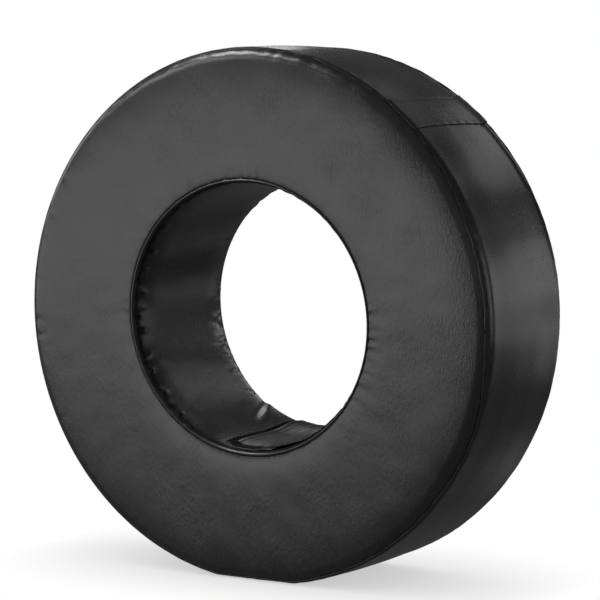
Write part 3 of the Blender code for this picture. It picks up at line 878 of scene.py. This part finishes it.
# The lining of the bore.  One strip of the same fabric inside the ring, gathered where it is
# sewn to the faces, with the mouth cut in it at the bottom where the foam goes in.

LINING_ROWS = 720
CLOSURE_LIFT = 0.009
CLOSURE_START = 232.5
FRONT_RISE_SPAN = 15.0
REAR_RISE_SPAN = 4.6
RISE_SLANT = 92.0
CLOSURE_FALL_END = 280.0
CLOSURE_EDGE_FADE = 0.024
CLOSURE_LIFT_Y = (0.01, 0.11)
CLOSURE_LIFT_FRONT = 0.04
RISE_TURN_Y = (-0.02, 0.06)
RISE_SLANT_REACH = 0.13
RISE_ROUND = 0.4
LINING_END_TURN = 84.3
LINING_INSET = 0.0006
FLAP_HINGE = 316.0
MOUTH_START = 272.0
MOUTH_HALF_WIDTH = 0.1502
PUFF_HEIGHT = 0.0003
LINING_DRAW = 0.0012
LINING_DRAW_REACH = 0.004
PUFF_AWAY = 0.014
FLAT_START = (236, 242)
FLAT_END = (326, 320)
FRONT_LINING_PUCKERS = (148, 158, 168, 176, 181, 186, 194, 203, 213, 226, 235, 136, 124, 111, 97)
REAR_LINING_PUCKERS = (177, 186, 193, 199, 205, 210, 215, 221, 227, 150, 128, 104)
FRONT_BUMPS = (
    (153, 0.030, 1.4, 0.009, 0.0028), (162, 0.028, 0.9, 0.007, 0.0020), (172, 0.033, 1.2, 0.007, 0.0020),
    (179, 0.036, 0.9, 0.006, 0.0014), (183, 0.022, 0.8, 0.006, 0.0026), (189, 0.030, 1.3, 0.012, 0.0030),
    (199.5, 0.034, 1.0, 0.007, 0.0020), (207, 0.020, 1.0, 0.008, 0.0026), (218, 0.022, 1.6, 0.010, 0.0030),
    (230, 0.020, 1.4, 0.010, 0.0030), (239, 0.016, 1.0, 0.008, 0.0024), (140, 0.026, 1.5, 0.008, 0.0016),
)
REAR_BUMPS = (
    (175, 0.020, 0.8, 0.016, 0.0010), (188, 0.018, 0.8, 0.014, 0.0010), (197, 0.020, 0.9, 0.018, 0.0012),
    (205, 0.024, 0.9, 0.022, 0.0014), (213, 0.026, 1.0, 0.024, 0.0014), (221, 0.024, 1.0, 0.020, 0.0012),
)


def bumps(angle, away, table):
    """Relief of short puffs: bell curves of the angle and of the distance from the seam."""
    relief = np.zeros(np.broadcast(angle, away).shape)
    for place, centre, width, length, height in table:
        relief += height * bell(angle - place, width) * bell(away - centre, length)
    return relief


def closure_lift(angle, y):
    """How far the stiff closure stands proud of the bore's round.

    It rises gently at the front, and at the rear in one flat fold that the tape's corner pulls.
    """
    span = FRONT_RISE_SPAN - (FRONT_RISE_SPAN - REAR_RISE_SPAN) * ramp(y, *RISE_TURN_Y)
    start = CLOSURE_START + RISE_SLANT * np.clip(LINING_EDGE_Y - y, 0.0, RISE_SLANT_REACH)
    share = (angle - start) / span
    rise = RISE_ROUND * smooth(share) + (1 - RISE_ROUND) * np.clip(share, 0.0, 1.0)
    rear = CLOSURE_LIFT_FRONT + (1 - CLOSURE_LIFT_FRONT) * ramp(y, *CLOSURE_LIFT_Y)
    return CLOSURE_LIFT * rear * rise * ramp(angle, FLAP_HINGE, CLOSURE_FALL_END)


def lining_radius(y, angle):
    """The lining's radius: the bore's barrel, less the closure's lift, which fades at the seams."""
    edge = smooth((HALF_WIDTH - np.abs(y)) / CLOSURE_EDGE_FADE)
    return barrel(y) - closure_lift(np.mod(angle, 360), y) * edge


def lining_shape(angle, y):
    """The lining's outside, from its front seam to its rear one, and its normals to the axis."""
    radius = lining_radius(y, angle)
    slope_radius, slope_y = np.gradient(radius, axis=1), np.gradient(y, axis=1)
    length = np.hypot(slope_radius, slope_y)
    normal_radius, normal_y = -slope_y / length, slope_radius / length
    from_front, from_rear = runs(radius, y)
    relief = np.zeros_like(radius)
    small = (0.6, 1.5), (0.0002, 0.0012), (0.010, 0.026), (-1.5, 1.5)
    for away, places, seed, *limits in (
        (from_front, FRONT_LINING_PUCKERS, 71, (0.9, 1.8), (0.0008, 0.0024), (0.018, 0.032), (-2.0, 2.0)),
        (from_rear, REAR_LINING_PUCKERS, 72, (0.6, 1.0), (0.0014, 0.0028), (0.026, 0.048), (-3.0, 3.0)),
        (from_front, spread_places(64, 73), 74, *small),
        (from_rear, spread_places(64, 75), 76, *small),
    ):
        relief += folds(angle, away, gathers(places, seed, *limits))
    relief += ripple(angle, from_front, 77, 10, 0.10, 0.00018)
    turn = np.radians(angle)
    puffs = np.sin(47 * turn) + np.sin(61 * turn + 1) + np.sin(38 * turn + 4)
    for away, table in ((from_front, FRONT_BUMPS), (from_rear, REAR_BUMPS)):
        relief += bumps(angle, away, table)
        relief += PUFF_HEIGHT * (1 + puffs / 2) * bell(away - PUFF_AWAY, PUFF_AWAY)
    around = np.mod(angle, 360)
    relief *= 1 - ramp(around, *FLAT_START) * ramp(around, *FLAT_END)
    for away in (from_front, from_rear):
        relief -= LINING_DRAW * np.exp(-away / LINING_DRAW_REACH)
    return raised((radius, y, normal_radius, normal_y), relief)


angle = np.arange(LINING_ROWS)[:, None] * 360 / LINING_ROWS
mouth_turn = math.asin((MOUTH_HALF_WIDTH - LINING_FLAT_Y) / LINING_TURN_Y)
end_turn = math.radians(LINING_END_TURN)
turns = np.concatenate((
    np.linspace(0, mouth_turn, 7)[:-1],
    mouth_turn + (end_turn - mouth_turn) * (1 - (1 - np.linspace(0, 1, 13)) ** 1.3),
))
side_y = LINING_FLAT_Y + LINING_TURN_Y * np.sin(turns)
flat_y = np.linspace(-LINING_FLAT_Y, LINING_FLAT_Y, 16)[1:-1]
lining_y = np.concatenate((-side_y[::-1], flat_y, side_y))[None] + 0 * angle
lining_outside = lining_shape(angle, lining_y)
radius, y = lining_outside[:2]


def lining_side(depth):
    """The lining's section at a depth under its outside, with both its edges turned in."""
    under_radius, under_y = raised(lining_outside, -depth)[:2]
    inset = LINING_INSET + depth
    return (
        np.concatenate((radius[:, :1] + ALLOWANCE, under_radius, radius[:, -1:] + ALLOWANCE), axis=1),
        np.concatenate((y[:, :1] + inset, under_y, y[:, -1:] - inset), axis=1),
    )


outside = lining_side(0.0)
upper = standing(*outside, angle)
lower = standing(*lining_side(COVER_THICKNESS), angle)
quads = ring_faces(*upper.shape[:2]).reshape(*upper.shape[:2], 4)[:, :-1]
middle_y = (outside[1][:, 1:] + outside[1][:, :-1]) / 2
middle_angle = angle + 180 / LINING_ROWS
mouth = (middle_angle > MOUTH_START) & (middle_angle < FLAP_HINGE)
mouth = mouth & (np.abs(middle_y) < MOUTH_HALF_WIDTH)
lining_vinyl = vinyl("lining_vinyl", roughness=0.27)
lining = two_sided("bore_lining_cover", upper, lower, quads[~mouth], lining_vinyl)
cover(lining, "bore_lining")

# The welts.  A vinyl bead on a flat flange stands in each of the four seams; the flange goes
# down between the two turned edges and is caught by the same stitches.

OUTER_BEAD = 0.0018
BORE_BEAD = 0.0022
OUTER_SINK = 0.0030
BORE_SINK = 0.0029
WELT_FLANGE = 0.0011
WELT_DEPTH = 0.008
WELT_COVERED = 0.003
WELT_STEPS = 14


def welt(name, node, place, bead, sink, finish):
    """A welt along a seam: a bead's arc with a flange's two sides going down, swept round.

    bead is the bead's radius, and sink how deep its underside lies in the seam.
    """
    radius, y, normal_radius, normal_y = place
    half = math.asin(WELT_FLANGE / 2 / bead)
    turn = np.linspace(-math.pi + half, math.pi - half, WELT_STEPS)
    up = np.append(bead * (1 + np.cos(turn)), (-WELT_DEPTH, -WELT_DEPTH))[None] - sink
    across = np.append(bead * np.sin(turn), (WELT_FLANGE / 2, -WELT_FLANGE / 2))[None]
    loop_radius = radius + normal_radius * up - normal_y * across
    loop_y = y + normal_y * up + normal_radius * across
    piece = swept(name, standing(loop_radius, loop_y, ring_angle), finish)
    declare(piece, node)


welt_vinyl = vinyl("welt_vinyl", 0.30, (0.009, 0.009, 0.0093), grain=0.5)
covered = upper_rear(ring_angle + 10) * ramp(ring_angle, 20, 30)
outer_sink = OUTER_SINK + covered * WELT_COVERED
for side, end in ((-1, "front"), (1, "rear")):
    for seam, place, bead, sink in (
        ("_outer", shoulder(seam_arc(ring_angle, side), side), OUTER_BEAD, outer_sink),
        ("_bore", bore_edge(BORE_SEAM_ARC + 0 * ring_angle, side), BORE_BEAD, BORE_SINK),
    ):
        welt(end + seam + "_bead", end + seam + "_welt", place, bead, sink, welt_vinyl)

# The closure's tapes.  Loop tape is sewn to the lining, under the flap's free edge and a little
# beyond it, and hook tape to the flap; each is woven tape with its pile or hooks on one side.

LOOP_TAPE_START = 255.7
LOOP_TAPE_SKEW = -1.4
TAPE_END = 266.3
TAPE_HALF_WIDTH = 0.1602
TAPE_THICKNESS = 0.0016
LAYER_GAP = 0.0003
STRIP_STEPS = 60


def tape_finish(name, tone, scale, depth):
    """Woven tape: dull, with its pile or hooks as close bumps and the tone varied slowly."""
    tape = Finish(name, tone, 0.95, Specular_IOR_Level=0.1)
    at = tape.place()
    tufts = tape.noise(at, scale, 3.0, 0.7)
    slow = tape.noise(at, 40.0)
    lighter = tuple(shade * 2.2 for shade in tone)
    tape.feed("Base Color", tape.tint(slow * tufts * 2.0, tone, lighter))
    tape.feed("Normal", tape.emboss(tufts, depth))
    return tape.material


def on_lining(name, height, angle, y, along, across, length, width, thickness, finish):
    """A thin piece on the lining, and its upper grid.  Its underside is a height above the lining.

    along and across are each place's shares of the piece's length and width.
    """
    full = roundness(length * from_ends(along), width * from_ends(across), thickness / 2)
    base = lining_radius(y, angle) - height - thickness / 2
    upper, lower = (standing(base + side * thickness / 2 * full, y, angle) for side in (-1, 1))
    return slab_of(name, upper, lower, finish), upper


def strip(name, low, high, skew, half_width, steps, height, thickness, finish):
    """A strip between two angles on the lining.  skew turns its start line, in degrees."""
    length, width = math.radians(high - low) * BORE_RADIUS, 2 * half_width
    along = edged(steps, length, thickness / 2)[:, None]
    across = edged(STRIP_STEPS, width, thickness / 2)[None]
    angle = low + (high - low) * along + skew * across * (1 - along)
    y = half_width * (2 * across - 1) + 0 * angle
    return on_lining(name, height, angle, y, along, across, length, width, thickness, finish)


# The loop tape's near-black tone is partly the tape's own black and partly painted shade. It is darker
# than black tape would be, and the strip it leaves showing beside the flap's free edge stands in for the
# shadowed gap there.
loop_tape_and_painted_shade = tape_finish("loop_tape", (0.0014, 0.0014, 0.0015), 900.0, 0.0006)
loop_tape, upper = strip(
    "loop_tape", LOOP_TAPE_START, TAPE_END, LOOP_TAPE_SKEW, TAPE_HALF_WIDTH, 40,
    LAYER_GAP, TAPE_THICKNESS, loop_tape_and_painted_shade,
)
cover(loop_tape, "lining_loop_tape")


def bore_stitches(name, path, body="wheel"):
    """Stitches whose upper side looks to the wheel's axle."""
    stitches(name, path, axle - path * np.array((1.0, 0.0, 1.0)), body)


bore_stitches("loop_tape_stitches", upper[7, 4:-4])

# The flap.  Doubled vinyl, sewn to the lining at its root, where a hem doubles it once more.
# It lies askew over the mouth and the tapes; its free edge stands off a little, its front edge
# hangs over the bore's edge, and the corner between them curls.

HOOK_TAPE_START = 262.4
HOOK_TAPE_SKEW = -4.2
FLAP_FREE = 261.0
FLAP_SKEW = -4.2
HEM_END = 321.0
FLAP_HALF_WIDTH = 0.1662
FLAP_OVERHANG = 0.006
FLAP_THICKNESS = 0.0024
TAPE_STACK = 2 * TAPE_THICKNESS + 3 * LAYER_GAP
CURL_HEIGHT = 0.0055
CURL_PLACES = (0.003, 0.015)
CURL_REACH = 0.0045
CURL_FROM_FRONT = 0.009
CURL_DEPTH = 0.006
FREE_EDGE_HEIGHT = 0.0010
FREE_EDGE_REACH = 0.010
FREE_EDGE_REAR = 0.25
FREE_EDGE_Y = (0.12, -0.16)
LENS_HEIGHT = 0.0035
LENS_START = (281, 285)
LENS_END = (300, 290)
LENS_DEPTH = 0.026
EDGE_DIP = 0.0030
EDGE_DIP_SPREAD = 2.5
EDGE_DIP_DEPTH = 0.004
DROOP = 0.0036
DROOP_START = (280, 272)
DROOP_END = (0.012, 0.032)
DROOP_DEPTH = 0.009
CORNER_TIP = 4.0
CORNER_TIP_DEPTH = 0.011


def flap_height(angle, y, along):
    """The flap's underside above the lining: over the tapes, down to the hinge, and its own curls."""
    over = LAYER_GAP + (TAPE_STACK - LAYER_GAP) * ramp(angle, FLAP_HINGE, MOUTH_START)
    from_free = along * flap_length
    from_front = y + FLAP_HALF_WIDTH + FLAP_OVERHANG
    corner = sum(bell(from_free - place, CURL_REACH) for place in CURL_PLACES)
    corner = corner * bell(from_front - CURL_FROM_FRONT, CURL_DEPTH)
    free = FREE_EDGE_REAR + (1 - FREE_EDGE_REAR) * ramp(y, *FREE_EDGE_Y)
    free = free * bell(from_free, FREE_EDGE_REACH)
    lens = ramp(angle, *LENS_START) * ramp(angle, *LENS_END) * bell(from_front, LENS_DEPTH)
    dip = bell(angle - LENS_START[0], EDGE_DIP_SPREAD) * bell(from_front, EDGE_DIP_DEPTH)
    droop = ramp(angle, *DROOP_START) * ramp(from_free, *DROOP_END) * bell(from_front, DROOP_DEPTH)
    lift = CURL_HEIGHT * corner + FREE_EDGE_HEIGHT * free + LENS_HEIGHT * lens
    return over + lift - EDGE_DIP * dip - DROOP * droop


flap_length = math.radians(FLAP_HINGE - FLAP_FREE - FLAP_SKEW / 2) * BORE_RADIUS
flap_width = 2 * FLAP_HALF_WIDTH + FLAP_OVERHANG
along = edged(110, flap_length, FLAP_THICKNESS / 2)[:, None]
across = edged(70, flap_width, FLAP_THICKNESS / 2)[None]
free_edge = FLAP_FREE + FLAP_SKEW * across - CORNER_TIP * bell(across * flap_width, CORNER_TIP_DEPTH)
angle = free_edge + (FLAP_HINGE - free_edge) * along
y = flap_width * across - FLAP_HALF_WIDTH - FLAP_OVERHANG + 0 * angle
height = flap_height(angle, y, along)
height = height + ripple(angle * 4, y, 91, 6, 0.16, 0.0004) * ramp(angle, FLAP_HINGE, FLAP_HINGE - 8)
flap_vinyl = vinyl("flap_vinyl", 0.33, (0.005, 0.005, 0.0052), grain=0.5, slack=0.4, shine=0.2)
flap, upper = on_lining(
    "flap", height, angle, y, along, across, flap_length, flap_width, FLAP_THICKNESS, flap_vinyl,
)
cover(flap, "closure_flap", body="flap")
bore_stitches("flap_edge_stitches", upper[7, 6:-6], "flap")
bore_stitches("flap_tape_stitches", upper[16, 6:-6], "flap")

hook_finish = tape_finish("hook_tape", (0.007, 0.007, 0.0073), 1300.0, 0.0005)
hook_tape, _ = strip(
    "hook_tape", HOOK_TAPE_START, TAPE_END, HOOK_TAPE_SKEW, TAPE_HALF_WIDTH, 24,
    TAPE_THICKNESS + 2 * LAYER_GAP, TAPE_THICKNESS, hook_finish,
)
cover(hook_tape, "flap_hook_tape", body="flap")

hem, upper = strip(
    "root_hem", FLAP_HINGE, HEM_END, 0.0, FLAP_HALF_WIDTH, 24, LAYER_GAP, FLAP_THICKNESS, flap_vinyl,
)
cover(hem, "flap_root_hem")
for name, row in (("hem_stitches_low", 8), ("hem_stitches_high", -9)):
    bore_stitches(name, upper[row, 4:-4])
